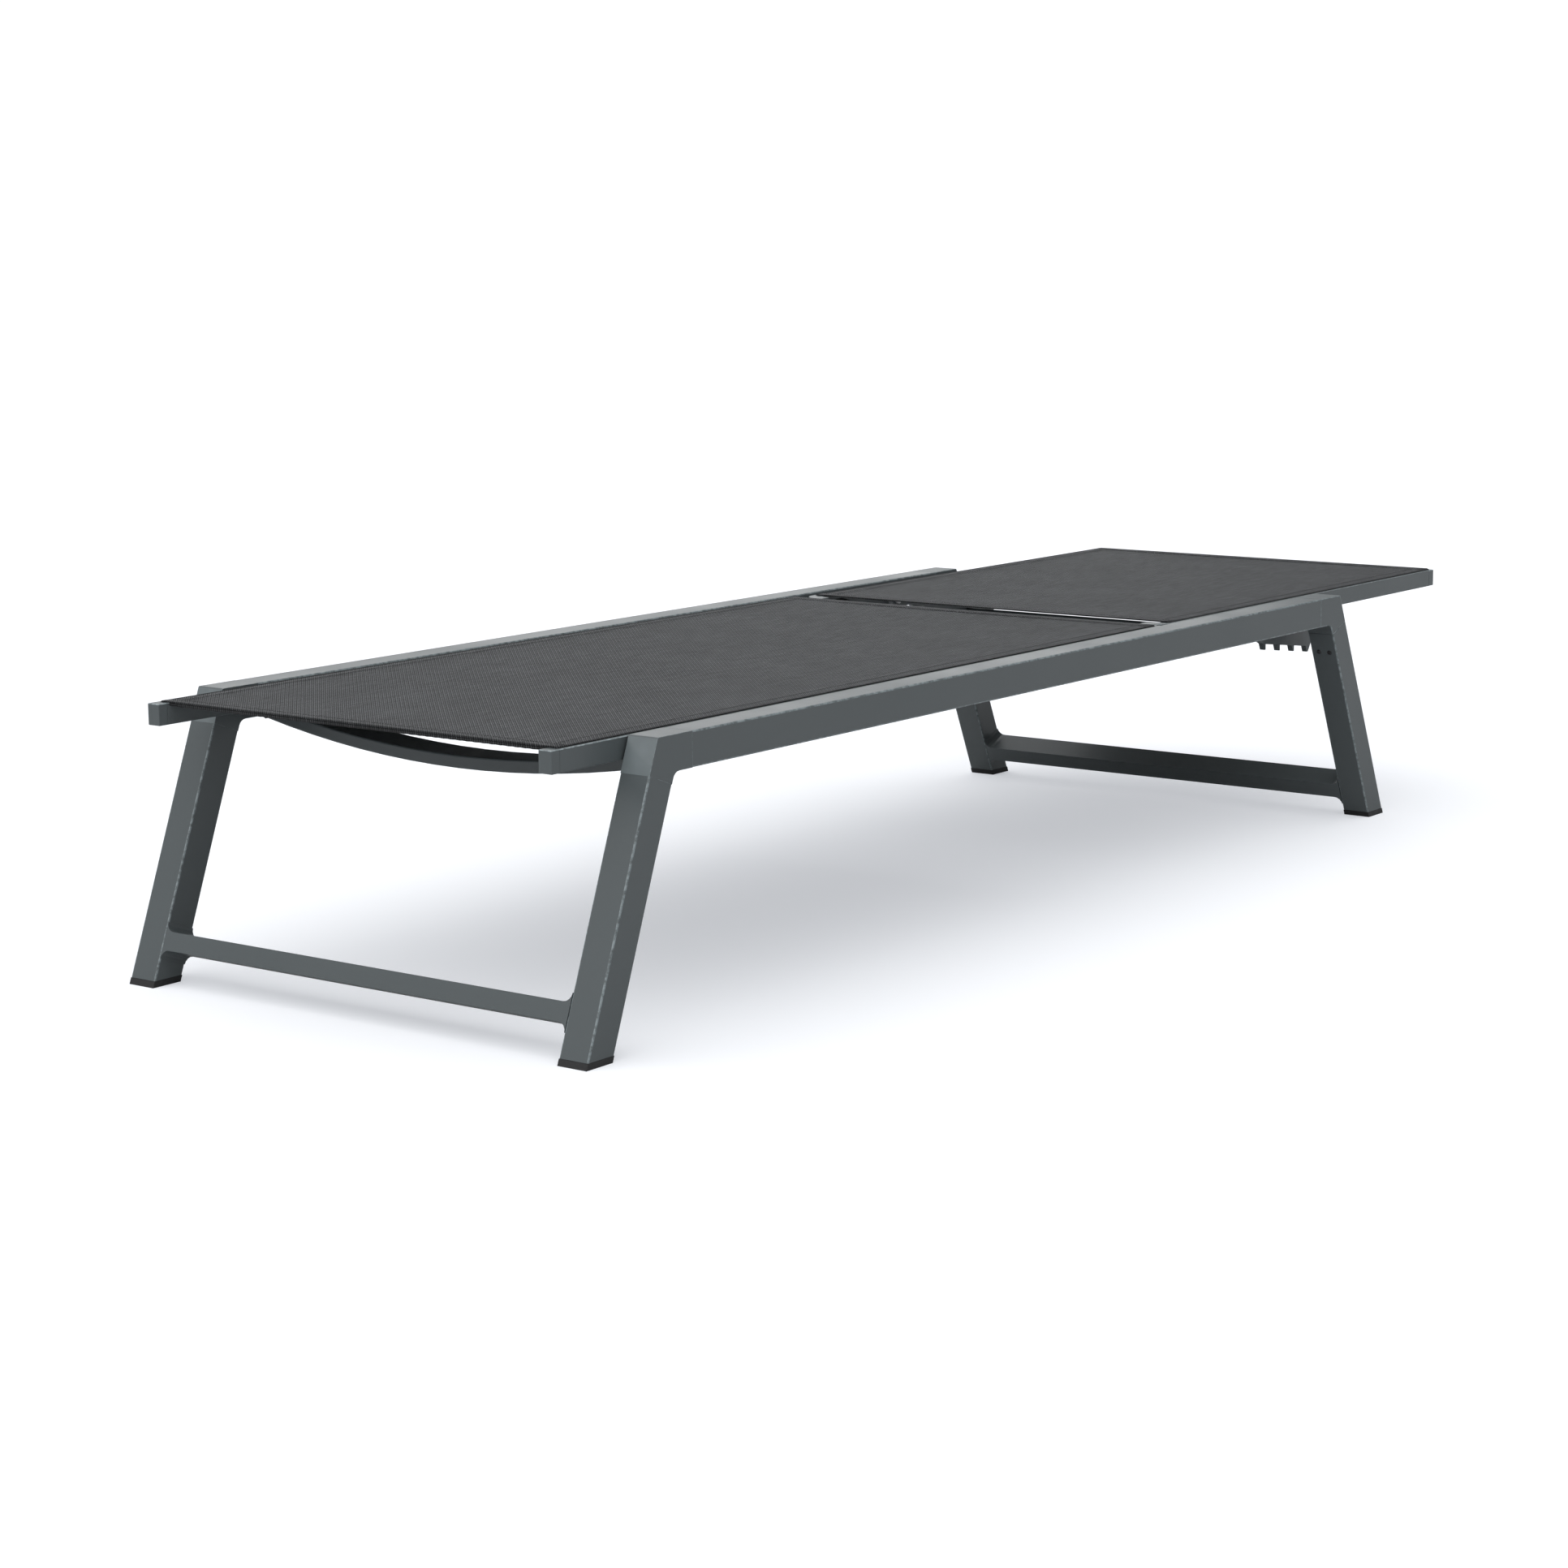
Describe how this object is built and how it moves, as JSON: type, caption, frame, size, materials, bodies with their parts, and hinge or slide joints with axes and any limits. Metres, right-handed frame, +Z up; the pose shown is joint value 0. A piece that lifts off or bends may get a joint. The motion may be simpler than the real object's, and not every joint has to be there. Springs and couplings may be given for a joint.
{
  "type": "sun lounger",
  "caption": "Low sun lounger with a tubular metal frame on splayed legs, a taut mesh seat and a hinged mesh backrest raised by a ratchet strut.",
  "frame": {"origin": "on the floor, in the middle of the footprint", "axes": "+X across the width, +Y along the length towards the head end, +Z up"},
  "size_m": [0.6604, 1.943, 0.3175],
  "materials": {
    "frame_powder_coat": "satin dark grey powder coat",
    "mesh_fabric": "dark grey woven coated mesh",
    "black_plastic": "matt black",
    "bright_steel": "plain"
  },
  "bodies": {
    "base": {"backrest_stop_left": "black_plastic", "backrest_stop_right": "black_plastic", "elbow_front_left": "frame_powder_coat", "elbow_front_right": "frame_powder_coat", "elbow_rear_left": "frame_powder_coat", "elbow_rear_right": "frame_powder_coat", "foot_glide_front_left": "black_plastic", "foot_glide_front_right": "black_plastic", "foot_glide_rear_left": "black_plastic", "foot_glide_rear_right": "black_plastic", "front_bow_tube": "frame_powder_coat", "front_crossbar": "frame_powder_coat", "hinge_bush_left": "black_plastic", "hinge_bush_right": "black_plastic", "hinge_pin_left": "bright_steel", "hinge_pin_right": "bright_steel", "leg_front_left": "frame_powder_coat", "leg_front_right": "frame_powder_coat", "leg_rear_left": "frame_powder_coat", "leg_rear_right": "frame_powder_coat", "middle_bow_tube": "frame_powder_coat", "rear_crossbar": "frame_powder_coat", "rest_bar": "frame_powder_coat", "rest_bar_bracket_left": "frame_powder_coat", "rest_bar_bracket_right": "frame_powder_coat", "seat_front_hem_bar": "black_plastic", "seat_rail_cap_left": "frame_powder_coat", "seat_rail_cap_right": "frame_powder_coat", "seat_rail_left": "frame_powder_coat", "seat_rail_right": "frame_powder_coat", "seat_rail_spacer_left_1": "bright_steel", "seat_rail_spacer_left_2": "bright_steel", "seat_rail_spacer_left_3": "bright_steel", "seat_rail_spacer_right_1": "bright_steel", "seat_rail_spacer_right_2": "bright_steel", "seat_rail_spacer_right_3": "bright_steel", "seat_sling": "mesh_fabric", "seat_spline_left": "black_plastic", "seat_spline_right": "black_plastic", "side_rail_left": "frame_powder_coat", "side_rail_right": "frame_powder_coat"},
    "backrest": {"back_sling": "mesh_fabric", "back_spline_left": "black_plastic", "back_spline_right": "black_plastic", "backrest_cap_left": "frame_powder_coat", "backrest_cap_right": "frame_powder_coat", "backrest_lower_bow": "frame_powder_coat", "backrest_rail_left": "frame_powder_coat", "backrest_rail_right": "frame_powder_coat", "backrest_upper_bow": "frame_powder_coat", "strut_pivot_left": "bright_steel", "strut_pivot_right": "bright_steel"},
    "strut_frame": {"ratchet_strut_left": "frame_powder_coat", "ratchet_strut_right": "frame_powder_coat", "strut_spreader": "frame_powder_coat"}
  },
  "joints": [
    {"name": "recline", "type": "hinge", "parent": "base", "child": "backrest", "pos_m": [0, 0.24, 0.3037], "axis": [1, 0, 0], "range_deg": [0, 64]},
    {"name": "strut_swing", "type": "hinge", "parent": "backrest", "child": "strut_frame", "pos_m": [0, 0.395, 0.2955], "axis": [1, 0, 0], "range_deg": [-98.5, 0]}
  ],
  "couplings": [
    {"joint": "strut_swing", "follows": "recline", "ratio": -1.526}
  ]
}
